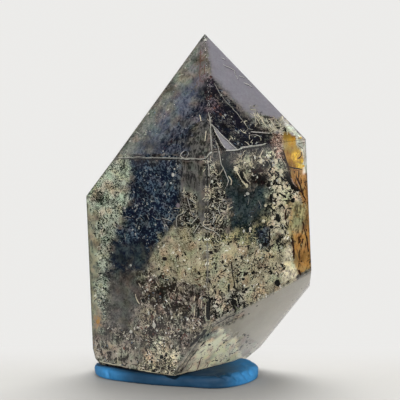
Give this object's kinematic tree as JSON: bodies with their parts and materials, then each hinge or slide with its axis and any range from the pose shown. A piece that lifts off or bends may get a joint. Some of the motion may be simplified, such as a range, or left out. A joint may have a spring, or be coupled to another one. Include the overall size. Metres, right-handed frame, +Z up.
{
  "type": "garden quartz point",
  "caption": "Six-sided polished quartz point with a slanting foot face and garden-like inclusions, stood upright on a small pad of blue putty.",
  "frame": {"origin": "on the surface that the pad lies on, under the middle of the crystal", "axes": "+Z up to the tip, +X to the right of the front, the front looks along -Y"},
  "size_m": [0.0336, 0.0234, 0.0516],
  "materials": {
    "quartz": "clear rock crystal, polished, see-through round its inclusions",
    "garden": "matt mineral inclusions inside the quartz, moss green to navy and cream",
    "iron_stain": "thin rust and ochre films inside the quartz",
    "putty": "soft matt blue mounting putty, pressed by hand"
  },
  "bodies": {
    "root": {"quartz_point": "quartz", "putty_pad": "putty"}
  },
  "joints": []
}
